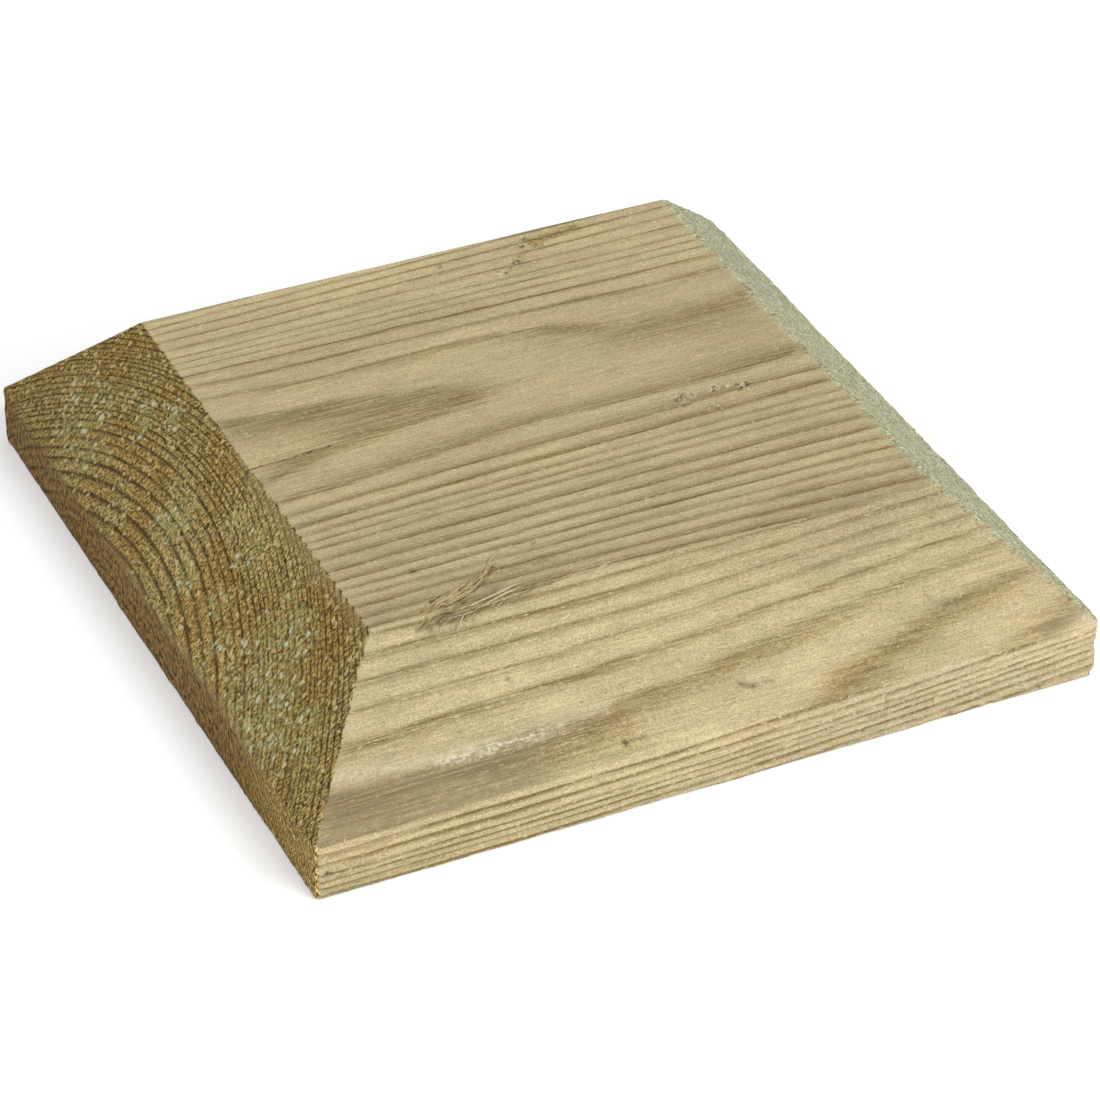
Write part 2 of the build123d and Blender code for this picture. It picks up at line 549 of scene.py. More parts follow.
def mark_walls(marks, points, normals, on_wall):
    """Add the nicks of the front wall, the chipped foot and the worn corner at the front right."""
    x, z = points[:, 0], points[:, 2]
    for centre, radius in WALL_NICKS:
        marks.cut(on_wall * hollow(x, z, centre, radius), NICK_DEPTH, NICK_DARKNESS)
    marks.add("pale", on_wall * (0.04 + 0.24 * ease(-30, 40, x)))

    ragged = noise(points * (1, 0, 0), (1.7, 1, 1), 52)
    near_foot = ease(1.3, 0, z)
    chipped = 0.25 + 0.75 * ease(28, 34, x) * ease(54, 46, x)
    marks.depth += near_foot * np.clip(ragged, 0, 1) * 0.45 * chipped * (1 - np.abs(normals[:, 2]))
    beside_nub = ease(-58.9, -58.2, x) * ease(-44, -56, x) * ease(0.9, 0.1, z)
    marks.depth += 0.5 * beside_nub * on_wall

    at_corner = ease(0.2, 0.6, 2 * np.clip(normals[:, 0], 0, 1) * np.clip(-normals[:, 1], 0, 1))
    waist = bell((z - 5.1) / 0.8) + 0.6 * near_foot
    marks.depth += 0.8 * waist * at_corner


def mark_left_end(marks, points, on_left):
    """Add the radial check of the left end, the growth, the rough wall below its bevel, a paler frayed rim
    and a painted highlight along the rounded shoulder.
    """
    y, z = points[:, 1], points[:, 2]
    down = down_slope(points, LEFT_RUN)
    check = groove(y, down, ((0.25, -1.5), (0.3, 5), (0, 11)), 0.17)
    marks.cut(on_left * check, 0.3, 0.9)
    for middle_y, middle_down, spread in GROWTH:
        patch = bell((y - middle_y) / spread) * bell((down - middle_down) / spread)
        marks.add("growth", on_left * patch)
    on_wall = on_left * ease(SHOULDER + 0.6, SHOULDER - 1.4, z)
    marks.add("rough", on_wall * ease(-46, -30, y))
    ragged_rim = ease(3, 0, down) * ease(9, 0, y) * ease(-46, -36, y)
    marks.add("fade", on_left * ragged_rim * 0.9)
    # Painted highlight: a lighter strip along the rounded shoulder of the left end, carried by the same mark
    # as the paler frayed rim
    lit = bell((z - SHOULDER) / 0.7) * ease(24, 12, y) * ease(-44, -30, y)
    marks.add("fade", on_left * lit * 0.8)


def colour_tone(points, on_top, on_front, on_left):
    """Return how much lighter or darker the colour is at each point, 1 on average."""
    x, y, z = points.T
    top = humps(x, y, TOP_TONES)
    down = down_slope(points, FRONT_RUN)
    front = -0.09 * ease(11, 6, down) * ease(-22, -12, x) - 0.05 * ease(-36, -44, x)
    front -= 0.08 * ease(12, 22, x) * (1 - 0.5 * ease(12, 15, down))
    left = 0.08 * bell((y + 13) / 12) - 0.07 * ease(12, 20, y) * ease(16, 20, down)
    # Below the shoulder, the left wall is lighter towards its front, and the other walls are lighter towards
    # the shoulder and darker towards the foot
    wall = ease(SHOULDER + 0.5, SHOULDER - 0.5, z)
    left += 0.38 * ease(-26, -40, y) * wall
    others = (0.02 + 0.1 * ease(2, 7, z)) * wall
    return 1 + on_top * top + on_front * front + on_left * left + (1 - on_left) * others


def surface_of_block():
    """Return vertices, faces and vertex values of the dressed block."""
    sharp, faces = sharp_block()
    wear = 1 + 0.45 * noise(sharp, (7, 5, 5), 3)
    wear += 0.25 * noise(sharp, (1.6, 1.2, 1.2), 4)
    points, normals = settle(sharp, wear)
    x, _, z = points.T
    facing_x, facing_y, facing_z = normals.T

    end_grain = ease(0.35, 0.6, np.abs(facing_x))
    end_gap = np.minimum(
        np.minimum(-bevel(points, -1, 0, LEFT_RUN)[0], x - LEFT),
        np.minimum(-bevel(points, 1, 0, RIGHT_RUN)[0], RIGHT - x),
    )
    level = ring_level(points)
    rings = np.interp(level, RING_TOPS, np.arange(len(RING_TOPS)))
    drift = noise(points, (34, 9, 9), 11)
    ripple = noise(points, (9, 2.6, 2.6), 12)
    rings += 0.05 * drift + 0.035 * ripple * (1 - end_grain) + 0.02 * ripple

    marks = Marks(len(points))
    on_top = ease(0.93, 0.98, facing_z) * (z > 20)
    on_front = ease(0.4, 0.6, -facing_y) * ease(0.4, 0.6, facing_z)
    on_left = ease(-0.4, -0.6, facing_x)
    on_wall = ease(0.75, 0.9, -facing_y)
    near_rim = ease(0.55, 0.65, facing_z) * (z > 24)
    mark_flat_top(marks, points, on_top)
    mark_tear(marks, points, near_rim)
    mark_front_bevel(marks, points, on_front)
    mark_walls(marks, points, normals, on_wall)
    mark_left_end(marks, points, on_left)

    # Planer waves and sawn fibres
    relief = 0.05 * noise(points, (45, 11, 11), 21)
    late = ease(0.55, 0.9, rings % 1) * ease(1, 0.96, rings % 1)
    relief += (1 - end_grain) * 0.045 * (late - 0.5)
    fuzz = noise(points, (0.8, 0.75, 1.1), 22)
    fuzz += 0.7 * noise(points, (1.6, 1.5, 2.4), 23)
    relief += end_grain * np.where(x < 0, 0.1, 0.13) * fuzz
    relief[facing_z < -0.5] = 0
    points = points + normals * (relief - marks.depth)[:, None]

    values = {
        "ring": rings,
        "end_grain": end_grain,
        "along": points[:, 0],
        "arc": np.arctan2(points[:, 1] - PITH_Y, points[:, 2] - PITH_Z) * (level - PITH_Z),
        "level": level,
        "end_gap": end_gap,
        "tone": colour_tone(points, on_top, on_front, on_left),
        "thin": on_top * ease(8, 24, points[:, 1]),
        "vigour": 1 + 0.45 * on_wall + 0.12 * on_front * ease(5, -25, points[:, 0]),
        **marks.shares,
    }
    return points, faces, values


def add_object(name, data):
    """Put a new object in the scene."""
    made = bpy.data.objects.new(name, data)
    bpy.context.scene.collection.objects.link(made)
    return made


def make_piece(name, points, faces, values, material):
    """Make a smooth mesh object from millimetres, with those values at its vertices."""
    mesh = bpy.data.meshes.new(name)
    mesh.from_pydata((points * MM).tolist(), [], [tuple(int(v) for v in face) for face in faces])
    for key, numbers in values.items():
        layer = mesh.attributes.new(key, "FLOAT", "POINT")
        layer.data.foreach_set("value", np.asarray(numbers, dtype=np.float32))
    mesh.polygons.foreach_set("use_smooth", [True] * len(mesh.polygons))
    mesh.materials.append(material)
    mesh.update()
    return add_object(name, mesh)


# Torn strands: (path as x, y and height over the flat top, radius at the middle, paleness)
STRANDS = (
    (
        ((-26, -37.3, -0.1), (-24.4, -35.8, 0.1), (-22.9, -33.6, 0.14), (-20.7, -32, 0.08),
         (-19.4, -30.8, -0.06)),
        0.15, 0.6,
    ),
    (((-24.6, -36.2, -0.1), (-23.4, -34.8, 0.08), (-21.9, -34.2, 0.06), (-20.2, -33.9, -0.06)), 0.1, 0.5),
    (((-23.1, -37, -0.1), (-22.5, -36.2, 0.06), (-22.4, -35.5, 0.08), (-22.9, -34.7, -0.06)), 0.11, 0.7),
    (((-22.4, -35.7, -0.1), (-21.6, -35, 0.06), (-20.6, -34.5, -0.06)), 0.09, 0.6),
    (((-15.8, -32.3, -0.1), (-15.1, -31.8, 0.08), (-14.2, -31.2, -0.06)), 0.11, 0.8),
    (((-8.8, -34.5, -0.08), (-8, -33.7, 0.05), (-7, -33.3, -0.06)), 0.08, 0.5),
    (((-35.4, -40.1, -0.1), (-33.2, -39, 0.06), (-31, -38, 0.08), (-29.4, -37.6, -0.06)), 0.12, 0.5),
    (
        ((-30.2, -41.7, -0.25), (-27.6, -41.3, 0), (-25, -40.8, 0.06), (-22.6, -40, 0.04),
         (-20.8, -39.7, -0.08)),
        0.25, 0.8,
    ),
    (((-29.3, -42.4, -0.4), (-26.8, -42, -0.1), (-24.3, -41.2, 0), (-21, -40.5, -0.1)), 0.2, 0.9),
    (((-32.6, -44.4, -1.85), (-31.6, -43.4, -0.8), (-30.4, -42.5, -0.35)), 0.12, 0.9),
    (((-12.8, -42.4, -0.62), (-11.4, -42, -0.18), (-9.8, -41.3, 0.08), (-7.6, -40.3, -0.04)), 0.19, 1),
    (((-11.6, -41.9, -0.3), (-9.9, -41, 0.04), (-7.8, -40, -0.06)), 0.11, 0.8),
)

# Fans of short strands between two guide paths: (one side, other side, how many, radius, palest)
FANS = (
    (
        ((-36, -40.4, -0.05), (-31.6, -38.6, 0.04), (-27.6, -36.6, 0.08), (-23.8, -34.5, 0.02)),
        ((-34.6, -41, -0.1), (-29.4, -39.9, 0.04), (-25.2, -37.7, 0.08), (-22.6, -35.7, 0.02)),
        46, 0.1, 0.6,
    ),
    (
        ((-35.6, -41, -0.1), (-30.4, -40.6, -0.12), (-25.4, -39.6, -0.04), (-20, -39.7, -0.02)),
        ((-34.6, -42.6, -0.7), (-28.6, -42.3, -0.6), (-23.5, -41.7, -0.35), (-18, -41.3, -0.25)),
        28, 0.09, 0.8,
    ),
    (
        ((-38, -40.6, -0.05), (-36.4, -40.2, 0.02), (-34.6, -39.6, 0), (-33.4, -39.4, -0.02)),
        ((-37.6, -41.2, -0.05), (-36, -40.9, 0.02), (-34.2, -40.4, 0), (-33, -40.2, -0.02)),
        8, 0.06, 0.6,
    ),
)


def follow(path, stops, places):
    """Return the points of a path at some places, where stops are the places of its own points."""
    return np.stack([np.interp(places, stops, path[:, axis]) for axis in range(3)], axis=1)


def fibre(path, radius, start):
    """Return vertices and faces of one flat strand with pointed ends, numbered from start."""
    sides = 6
    steps = 12
    flatness = 0.4
    path = np.array(path, dtype=float)
    reach = np.concatenate(([0], np.cumsum(np.linalg.norm(np.diff(path, axis=0), axis=1))))
    places = np.linspace(0, reach[-1], steps + 1)
    middle = follow(path, reach, places)
    for _ in range(2):
        middle[1:-1] = (middle[:-2] + 2 * middle[1:-1] + middle[2:]) / 4
    heading = unit(np.gradient(middle, axis=0))
    beside = unit(np.cross(heading, (0, 0, 1)))
    above = np.cross(beside, heading)
    points = [middle[0]]
    ragged = 1 + 0.35 * noise(middle, (0.9, 0.9, 0.9), 61)
    for step in range(1, steps):
        thick = radius * ragged[step] * math.sin(math.pi * step / steps) ** 0.5
        for side in range(sides):
            turn = 2 * math.pi * side / sides
            points.append(
                middle[step]
                + beside[step] * thick * math.cos(turn)
                + above[step] * thick * flatness * math.sin(turn)
            )
    points.append(middle[-1])
    faces = []
    for side in range(sides):
        after = (side + 1) % sides
        faces.append((start, start + 1 + after, start + 1 + side))
        for step in range(steps - 2):
            ring = start + 1 + step * sides
            faces.append((ring + side, ring + after, ring + sides + after, ring + sides + side))
        last = start + 1 + (steps - 2) * sides
        faces.append((last + side, last + after, start + len(points) - 1))
    return points, faces


def fan_strands():
    """Draw the strands of every fan: each follows part of a way between the two guide paths."""
    draw = np.random.default_rng(5)
    strands = []
    for one_side, other_side, count, radius, palest in FANS:
        one_side, other_side = np.array(one_side), np.array(other_side)
        for _ in range(count):
            guide = one_side + (other_side - one_side) * draw.uniform(0, 1)
            begin = draw.uniform(0, 0.6)
            places = np.clip(begin + np.array((0, 0.5, 1)) * draw.uniform(0.18, 0.45), 0, 1)
            path = follow(guide, range(len(guide)), places * (len(guide) - 1))
            path[:, :2] += draw.normal(0, 0.1, (3, 2))
            path[:, 2] += np.array((-0.08, draw.uniform(0, 0.12), -0.08))
            strands.append((path, radius * draw.uniform(0.6, 1.3), palest * draw.uniform(0, 1)))
    return strands


def torn_fibres(material):
    """Make the strands of torn wood as one piece."""
    points, faces, pale = [], [], []
    for path, radius, paleness in [*STRANDS, *fan_strands()]:
        more_points, more_faces = fibre([(x, y, TOP + lift) for x, y, lift in path], radius, len(points))
        points += more_points
        faces += more_faces
        pale += [paleness] * len(more_points)
    points = np.array(points)
    pale = np.array(pale)
    flat = np.zeros(len(points))
    values = dict.fromkeys(("end_grain", "level", "thin", *Marks.KINDS), flat)
    values |= {"ring": flat + 0.25, "end_gap": flat + 9, "tone": flat + 1, "vigour": flat + 1}
    values |= {"along": points[:, 0], "arc": points[:, 1], "pale": pale * 0.5, "brown": (1 - pale) * 0.8}
    return make_piece("torn_fibres", points, faces, values, material)


# Materials
ROUGHNESS = 0.78
SHEEN = 0.25
SIDE_BUMP = 0.00014      # metres
END_BUMP = 0.00045


def paint(red, green, blue):
    """Turn a screen colour, 0 to 255 a channel, into the linear colour that a shader takes."""
    linear = []
    for channel in (red, green, blue):
        value = channel / 255
        linear.append(value / 12.92 if value <= 0.04045 else ((value + 0.055) / 1.055) ** 2.4)
    return (*linear, 1)


class Graph:
    """The node tree of a material or world, with one short call for each kind of node."""

    def __init__(self, owner):
        owner.use_nodes = True
        self.tree = owner.node_tree
        self.tree.nodes.clear()

    def node(self, kind, values=None, **settings):
        """Add a node; values go to its input sockets, as numbers, colours or other nodes' outputs."""
        made = self.tree.nodes.new("ShaderNode" + kind)
        for key, value in settings.items():
            setattr(made, key, value)
        for key, value in (values or {}).items():
            if isinstance(value, bpy.types.NodeSocket):
                self.tree.links.new(value, made.inputs[key])
            else:
                made.inputs[key].default_value = value
        return made

    def read(self, name):
        """Read a vertex value of the mesh."""
        return self.node("Attribute", attribute_name=name).outputs["Fac"]

    def calc(self, operation, first, second=0, clamp=False):
        """Work out one value from two."""
        made = self.node("Math", {0: first, 1: second}, operation=operation, use_clamp=clamp)
        return made.outputs[0]

    def times(self, first, second, clamp=False):
        """Multiply two values."""
        return self.calc("MULTIPLY", first, second, clamp)

    def vector(self, x, y, z):
        """Join three values into a vector."""
        return self.node("CombineXYZ", {0: x, 1: y, 2: z}).outputs[0]

    def noise(self, place, stretch, detail=2, roughness=0.5):
        """Sample a noise texture, about 0.5 on average, where the place is scaled along each axis."""
        scaled = self.node("VectorMath", {0: place, 1: stretch}, operation="MULTIPLY").outputs[0]
        values = {"Vector": scaled, "Scale": 1, "Detail": detail, "Roughness": roughness}
        return self.node("TexNoise", values).outputs["Fac"]

    def remap(self, value, low, high, to_low=0, to_high=1):
        """Ease a value from one range to another, held at both ends."""
        values = {"Value": value, "From Min": low, "From Max": high, "To Min": to_low, "To Max": to_high}
        return self.node("MapRange", values, interpolation_type="SMOOTHSTEP").outputs["Result"]

    def mix(self, factor, first, second, blend="MIX"):
        """Mix two colours."""
        values = {0: factor, 6: first, 7: second}
        return self.node("Mix", values, data_type="RGBA", blend_type=blend).outputs[2]

    def blend(self, factor, first, second):
        """Mix two values."""
        return self.node("Mix", {0: factor, 2: first, 3: second}, data_type="FLOAT").outputs[0]

    def curve(self, value, stops):
        """Read a value off a line through (place, height) stops."""
        made = self.node("ValToRGB", {"Fac": value})
        elements = made.color_ramp.elements
        while len(elements) < len(stops):
            elements.new(0.5)
        for element, (place, height) in zip(elements, stops):
            element.position = place
            element.color = (height, height, height, 1)
        return made.outputs["Color"]

    def tint(self, colour, amount):
        """Scale a colour's brightness by a value."""
        made = self.node("VectorMath", {0: colour, "Scale": amount}, operation="SCALE")
        return made.outputs[0]


# How dark the wood is over one ring, from its early wood out: (share of the ring, darkness)
CRISP_RING = (
    (0, 0.3), (0.06, 0.05), (0.34, 0), (0.52, 0.22),
    (0.7, 0.58), (0.86, 0.95), (0.92, 1), (1, 0.3),
)
SOFT_RING = ((0, 0.42), (0.12, 0.1), (0.3, 0), (0.55, 0.08), (0.78, 0.55), (0.9, 0.75), (1, 0.42))
THIN_RING = ((0, 0.35), (0.05, 0.04), (0.55, 0), (0.74, 0.25), (0.86, 0.85), (0.93, 1), (1, 0.35))
END_RING = ((0, 0.3), (0.06, 0), (0.56, 0), (0.7, 0.3), (0.81, 1), (0.95, 1), (1, 0.3))

# How far each part of a ring stands out past the border of the end grain: (share of the ring, reach)
FRAYED_RING = ((0, 0.2), (0.1, 0), (0.5, 0), (0.8, 1), (1, 0.2))


def ring_vigour(graph, ring, weakest):
    """Return how strongly each ring is marked, from weakest to 1."""
    number = graph.calc("FLOOR", ring)
    drawn = graph.node("TexWhiteNoise", {"W": number}, noise_dimensions="1D").outputs["Value"]
    return graph.remap(drawn, 0, 1, weakest, 1)


def side_grain(graph, grain, ring, fade):
    """Return colour and height of planed side grain: bands with one sharp edge, which soften with fading and
    where a highlight is painted.
    """
    wander = graph.noise(grain, (0.1, 1.4, 1.4), 3, 0.6)
    shifted = graph.calc("ADD", ring, graph.times(graph.calc("SUBTRACT", wander, 0.5), 0.3))
    share = graph.calc("FRACT", shifted)
    crisp = graph.curve(share, CRISP_RING)
    soft = graph.curve(share, SOFT_RING)
    thin = graph.curve(share, THIN_RING)
    crisp = graph.blend(graph.read("thin"), crisp, thin)
    late = graph.blend(fade, crisp, soft)
    late = graph.times(late, ring_vigour(graph, shifted, 0.65))
    late = graph.times(late, graph.read("vigour"))
    streaks = graph.noise(grain, (0.06, 3.2, 3.2), 3, 0.7)
    late = graph.times(late, graph.remap(streaks, 0.34, 0.66, 0.45, 1.35))
    late = graph.times(late, graph.remap(fade, 0, 1, 1, 0.92), clamp=True)

    warm = graph.noise(grain, (0.025, 0.07, 0.07), 2)
    early_colour = graph.mix(graph.remap(warm, 0.35, 0.65), paint(206, 191, 147), paint(211, 191, 147))
    late_colour = graph.mix(graph.remap(warm, 0.4, 0.6), paint(133, 117, 68), paint(142, 118, 69))
    colour = graph.mix(late, early_colour, late_colour)

    fine = graph.noise(grain, (0.12, 4.5, 4.5), 3, 0.7)
    colour = graph.tint(colour, graph.remap(fine, 0.3, 0.7, 0.85, 1.12))
    grit = graph.noise(grain, (3.2, 5.6, 5.6), 1, 0.9)
    colour = graph.tint(colour, graph.remap(grit, 0.34, 0.66, 0.8, 1.18))
    clouds = graph.noise(grain, (0.05, 0.12, 0.12), 1)
    colour = graph.tint(colour, graph.remap(clouds, 0.3, 0.7, 0.92, 1.06))
    mottle = graph.noise(grain, (0.25, 0.7, 0.7), 2, 0.6)
    colour = graph.tint(colour, graph.remap(mottle, 0.3, 0.7, 0.95, 1.05))
    pores = graph.noise(grain, (0.8, 5, 5), 0)
    colour = graph.mix(graph.remap(pores, 0.76, 0.84, 0, 0.5), colour, paint(104, 84, 46))
    glints = graph.noise(grain, (1.1, 5, 5), 0)
    colour = graph.mix(graph.remap(glints, 0.68, 0.78, 0, 0.55), colour, paint(232, 220, 178))
    height = graph.calc("ADD", graph.times(fine, 0.5), graph.times(grit, 0.7))
    height = graph.calc("ADD", height, graph.times(late, 0.3))
    return colour, graph.calc("SUBTRACT", height, 0.7)


def speckles(graph, place, size, share):
    """Return small blobs, 1 inside: one to a cell of that size in mm, in that share of the cells."""
    warp = graph.tint(graph.noise(place, (2 / size, 2 / size, 2 / size), 1), size * 0.5)
    bent = graph.node("VectorMath", {0: place, 1: warp}, operation="ADD").outputs[0]
    cells = graph.node("TexVoronoi", {"Vector": bent, "Scale": 1 / size, "Randomness": 1})
    pick = graph.node("SeparateColor", {0: cells.outputs["Color"]}).outputs[0]
    size_here = graph.remap(pick, 1 - share, 1, 0, 0.45)
    return graph.remap(graph.calc("SUBTRACT", size_here, cells.outputs["Distance"]), -0.04, 0.06)


def end_grain(graph, grain, ring, at_right, growth):
    """Return colour and height of sawn end grain: thin dark rings, open fibres and pale growth."""
    share = graph.calc("FRACT", ring)
    line = graph.curve(share, END_RING)
    line = graph.times(line, ring_vigour(graph, ring, 0.7))
    breaks = graph.noise(grain, (0.6, 0.5, 0.5), 3)
    line = graph.times(line, graph.remap(breaks, 0.32, 0.55, 0.65, 1))

    clouds = graph.noise(grain, (0.1, 0.08, 0.08), 2)
    base = graph.mix(graph.remap(clouds, 0.35, 0.65), paint(196, 162, 88), paint(208, 182, 112))
    fibres = graph.noise(grain, (2, 3.6, 1.9), 1, 0.8)
    colour = graph.tint(base, graph.remap(fibres, 0.36, 0.64, 0.38, 1.62))
    colour = graph.mix(graph.times(line, 0.93), colour, paint(82, 61, 16))

    pits = graph.noise(grain, (1.8, 3.6, 2), 1, 0.5)
    colour = graph.mix(graph.remap(pits, 0.58, 0.64, 0, 0.9), colour, paint(62, 44, 8))

    flecks = speckles(graph, grain, 0.9, 0.45)
    colour = graph.mix(graph.times(flecks, 0.92), colour, paint(242, 224, 164))
    crowd = graph.noise(grain, (0.5, 0.5, 0.5), 2)
    cover = graph.remap(graph.calc("ADD", growth, graph.calc("SUBTRACT", crowd, 0.5)), 0.15, 0.75)
    blobs = graph.noise(grain, (1, 1.5, 1.5), 2, 0.7)
    green = graph.times(graph.remap(blobs, 0.5, 0.55), cover)
    green_colour = graph.mix(graph.remap(crowd, 0.4, 0.6), paint(198, 206, 122), paint(226, 230, 162))
    green_colour = graph.tint(green_colour, graph.remap(fibres, 0.36, 0.64, 0.62, 1.25))
    colour = graph.mix(graph.times(green, 0.65), colour, green_colour)
    spots = graph.times(speckles(graph, grain, 1.1, 0.5), graph.remap(cover, 0, 0.5))
    colour = graph.mix(graph.times(spots, 0.92), colour, paint(246, 248, 208))

    grain_size = graph.noise(grain, (2, 3, 3), 2, 0.9)
    right = graph.mix(graph.times(line, 0.5), paint(224, 224, 184), paint(158, 152, 106))
    right = graph.tint(right, graph.remap(grain_size, 0.36, 0.64, 0.62, 1.3))
    mottle = graph.noise(grain, (0.5, 0.8, 0.8), 2, 0.7)
    right = graph.tint(right, graph.remap(mottle, 0.36, 0.64, 0.82, 1.16))
    right = graph.mix(graph.remap(pits, 0.59, 0.65, 0, 0.7), right, paint(108, 102, 62))
    colour = graph.mix(at_right, colour, right)

    height = graph.calc("ADD", graph.times(fibres, 1.2), graph.times(pits, -1))
    height = graph.calc("SUBTRACT", height, graph.times(line, 0.35))
    return colour, graph.calc("SUBTRACT", height, 0.1)


def end_share(graph, grain, ring, right, gap):
    """Return 1 on end grain and 0 on side grain, with a frayed border: the late wood stands out past it."""
    share = graph.calc("FRACT", ring)
    spikes = graph.curve(share, FRAYED_RING)
    arc = graph.node("SeparateXYZ", {0: grain}).outputs[1]
    spikes = graph.times(spikes, graph.remap(arc, 2, -6, 0.04, 0.15))
    spikes = graph.times(spikes, graph.remap(arc, -52, -46, 0.1, 1))
    ragged = graph.noise(grain, (0.8, 2.4, 2.4), 2, 0.7)
    left_limit = graph.calc("ADD", spikes, graph.remap(ragged, 0.35, 0.65, 0, 0.16))
    right_limit = graph.remap(ragged, 0.35, 0.65, 0.15, 0.9)
    limit = graph.blend(right, left_limit, right_limit)
    soft = graph.remap(right, 0, 1, 0.1, 0.45)
    border = graph.remap(gap, graph.calc("ADD", limit, soft), graph.calc("SUBTRACT", limit, soft))
    return graph.calc("MAXIMUM", graph.read("end_grain"), border)


def torn_colour(graph, grain):
    """Return the colour of torn wood, streaked along the way it tore."""
    axes = graph.node("SeparateXYZ", {0: grain})
    along, arc = axes.outputs[0], axes.outputs[1]
    with_tear = graph.calc("ADD", graph.times(along, TEAR_COS), graph.times(arc, TEAR_SIN))
    over_tear = graph.calc("SUBTRACT", graph.times(arc, TEAR_COS), graph.times(along, TEAR_SIN))
    streaks = graph.noise(graph.vector(with_tear, over_tear, 0), (0.45, 4.2, 1), 2, 0.7)
    deep = graph.mix(graph.remap(streaks, 0.38, 0.48), paint(78, 62, 24), paint(158, 134, 76))
    return graph.mix(graph.remap(streaks, 0.5, 0.6), deep, paint(222, 204, 146))


def with_marks(graph, grain, colour):
    """Lay the marks of sawing, tearing, handling and growth over the colour of the wood."""
    patches = graph.noise(grain, (0.35, 1.5, 1.5), 2, 0.7)
    patchy = graph.remap(patches, 0.36, 0.6, 0.3, 1.25)
    chips = graph.noise(grain, (1.7, 2.4, 2.4), 1, 0.8)
    stained = graph.mix(1, colour, (0.8, 0.7, 0.5, 1), blend="MULTIPLY")
    stained = graph.tint(stained, graph.remap(chips, 0.38, 0.62, 0.72, 1.26))
    colour = graph.mix(graph.times(graph.read("brown"), patchy, clamp=True), colour, stained)

    lumps = graph.noise(grain, (1.2, 1.5, 1), 2, 0.7)
    rough = graph.mix(graph.remap(lumps, 0.42, 0.58), paint(60, 32, 5), paint(214, 164, 92))
    colour = graph.mix(graph.times(graph.read("rough"), 0.72), colour, rough)
    colour = graph.mix(graph.read("torn"), colour, torn_colour(graph, grain))
    grey = graph.times(graph.read("grey"), graph.remap(patches, 0.36, 0.6, 0.36, 0.62))
    colour = graph.mix(grey, colour, paint(136, 125, 96))

    chalk = graph.times(patchy, graph.remap(chips, 0.4, 0.6, 0.3, 1))
    pale = graph.times(graph.read("pale"), chalk, clamp=True)
    colour = graph.mix(pale, colour, paint(234, 224, 196))
    scuff = graph.read("scuff")
    colour = graph.mix(graph.times(graph.remap(chips, 0.53, 0.6), scuff), colour, paint(236, 228, 194))
    colour = graph.mix(graph.times(graph.remap(chips, 0.45, 0.38), scuff), colour, paint(92, 78, 42))
    dark = graph.times(graph.read("dark"), graph.remap(chips, 0.4, 0.6, 1.1, 0.55), clamp=True)
    return graph.mix(dark, colour, paint(62, 50, 22))


def timber_material():
    """Make the wood of the whole cap."""
    material = bpy.data.materials.new("timber")
    graph = Graph(material)
    along = graph.read("along")
    ring = graph.read("ring")
    gap = graph.read("end_gap")
    grain = graph.vector(along, graph.read("arc"), graph.read("level"))
    right = graph.remap(along, -10, 10)

    frayed = graph.times(graph.remap(gap, 1.7, 0.2), graph.remap(right, 0, 1, 0.55, 0.8))
    fade = graph.calc("MAXIMUM", graph.read("fade"), frayed)
    side_colour, side_height = side_grain(graph, grain, ring, fade)
    side_colour = graph.mix(graph.times(frayed, 0.35), side_colour, paint(206, 190, 154))
    end_colour, end_height = end_grain(graph, grain, ring, right, graph.read("growth"))
    # This mark pales the end grain: the frayed rim's lighter wood, and a painted highlight along the rounded
    # shoulder of the left end
    worn = graph.times(graph.read("fade"), 0.55)
    end_colour = graph.mix(worn, end_colour, paint(196, 168, 118))
    end = end_share(graph, grain, ring, right, gap)
    colour = graph.tint(graph.mix(end, side_colour, end_colour), graph.read("tone"))
    colour = with_marks(graph, grain, colour)

    height = graph.blend(end, side_height, end_height)
    depth = graph.remap(end, 0, 1, SIDE_BUMP, END_BUMP)
    bump = graph.node("Bump", {"Height": height, "Distance": depth, "Strength": 1})
    shader = graph.node("BsdfPrincipled", {
        "Base Color": colour,
        "Roughness": ROUGHNESS,
        "Specular IOR Level": SHEEN,
        "Normal": bump.outputs["Normal"],
    })
    graph.node("OutputMaterial", {"Surface": shader.outputs[0]})
    return material


def seen_plainly(graph):
    """Return 1 for camera, glossy and transmission rays, and 0 for those that light the scene."""
    path = graph.node("LightPath")
    seen = graph.calc("MAXIMUM", path.outputs["Is Camera Ray"], path.outputs["Is Glossy Ray"])
    return graph.calc("MAXIMUM", seen, path.outputs["Is Transmission Ray"])


def floor_material():
    """Make the pale floor, which shows white to the camera where nothing shades it."""
    material = bpy.data.materials.new("studio_floor")
    graph = Graph(material)
    diffuse = graph.node("BsdfDiffuse", {"Color": FLOOR_COLOUR})
    glow = graph.node("Emission", {"Strength": graph.times(seen_plainly(graph), FLOOR_GLOW)})
    total = graph.node("AddShader", {0: diffuse.outputs[0], 1: glow.outputs[0]})
    graph.node("OutputMaterial", {"Surface": total.outputs[0]})
    return material


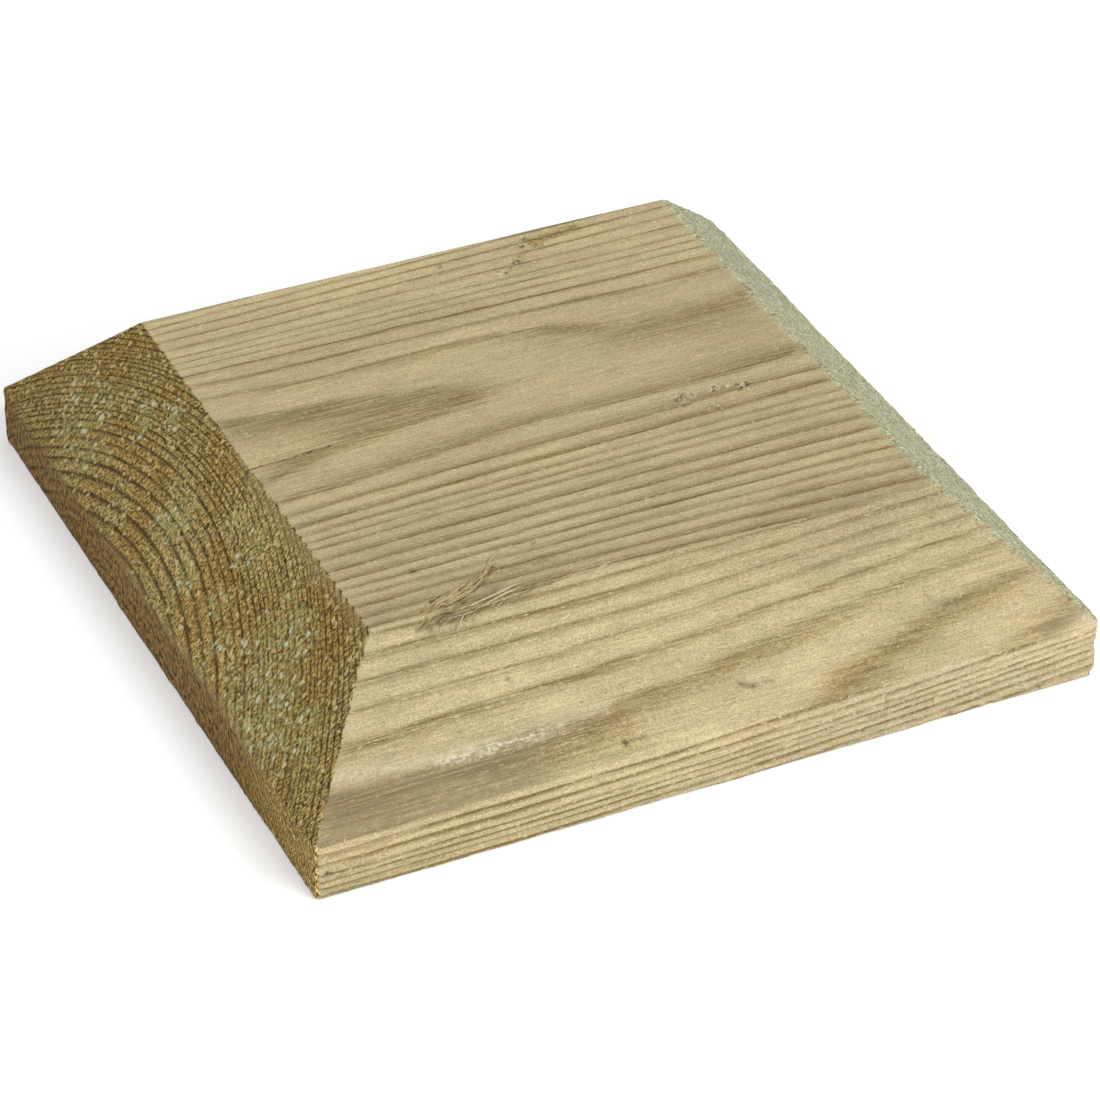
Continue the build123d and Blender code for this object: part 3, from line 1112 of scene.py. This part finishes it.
# Studio, in metres
FLOOR_SIDE = 6.0
FLOOR_DROP = 0.0002      # below the underside of the block
FLOOR_COLOUR = (0.78, 0.78, 0.78, 1)
FLOOR_GLOW = 0.45
SKY_LEVEL = 0.52
KEY_LEVEL = 0.64         # share of a colour's plain level that the key light gives a face square to it
KEY_FROM = (0.35, -1.05, 0.98)
KEY_SIDE = 0.7
CAMERA_FROM = (-0.228617, -0.47042, 0.373057)
CAMERA_TURN = (54.5255, -0.8492, -25.599)       # degrees
CAMERA_LENS = 143.38     # millimetres
CAMERA_SENSOR = 36.0     # millimetres


def make_floor():
    """Lay the floor just under the block."""
    half = FLOOR_SIDE / 2
    mesh = bpy.data.meshes.new("studio_floor")
    corners = [(-half, -half, 0), (half, -half, 0), (half, half, 0), (-half, half, 0)]
    mesh.from_pydata(corners, [], [(0, 1, 2, 3)])
    mesh.materials.append(floor_material())
    floor = add_object("studio_floor", mesh)
    floor.location.z = -FLOOR_DROP


def make_lights():
    """Light the block with an even sky and one broad soft lamp in front."""
    world = bpy.data.worlds.new("studio_sky")
    bpy.context.scene.world = world
    graph = Graph(world)
    level = graph.remap(seen_plainly(graph), 0, 1, SKY_LEVEL, 1)
    background = graph.node("Background", {"Strength": level})
    graph.node("OutputWorld", {"Surface": background.outputs[0]})

    lamp = bpy.data.lights.new("key_lamp", "AREA")
    lamp.size = KEY_SIDE
    away = math.hypot(*KEY_FROM)
    lamp.energy = KEY_LEVEL * math.pi**2 * away**2
    key = add_object("key_lamp", lamp)
    key.location = KEY_FROM
    key.rotation_euler = Vector(KEY_FROM).to_track_quat("Z", "Y").to_euler()


def make_camera():
    """Place the camera as the photograph shows the block, 64 cm away."""
    camera = add_object("camera", bpy.data.cameras.new("camera"))
    camera.data.lens = CAMERA_LENS
    camera.data.sensor_width = CAMERA_SENSOR
    camera.data.clip_start = 0.01
    camera.location = CAMERA_FROM
    camera.rotation_euler = [math.radians(turn) for turn in CAMERA_TURN]
    bpy.context.scene.camera = camera


timber = timber_material()
block = make_piece("timber_block", *surface_of_block(), timber)
fibres = torn_fibres(timber)
for piece in (block, fibres):
    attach(piece, "root")
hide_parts("post_cap")

make_floor()
make_lights()
make_camera()
bpy.context.scene.view_settings.view_transform = "Standard"
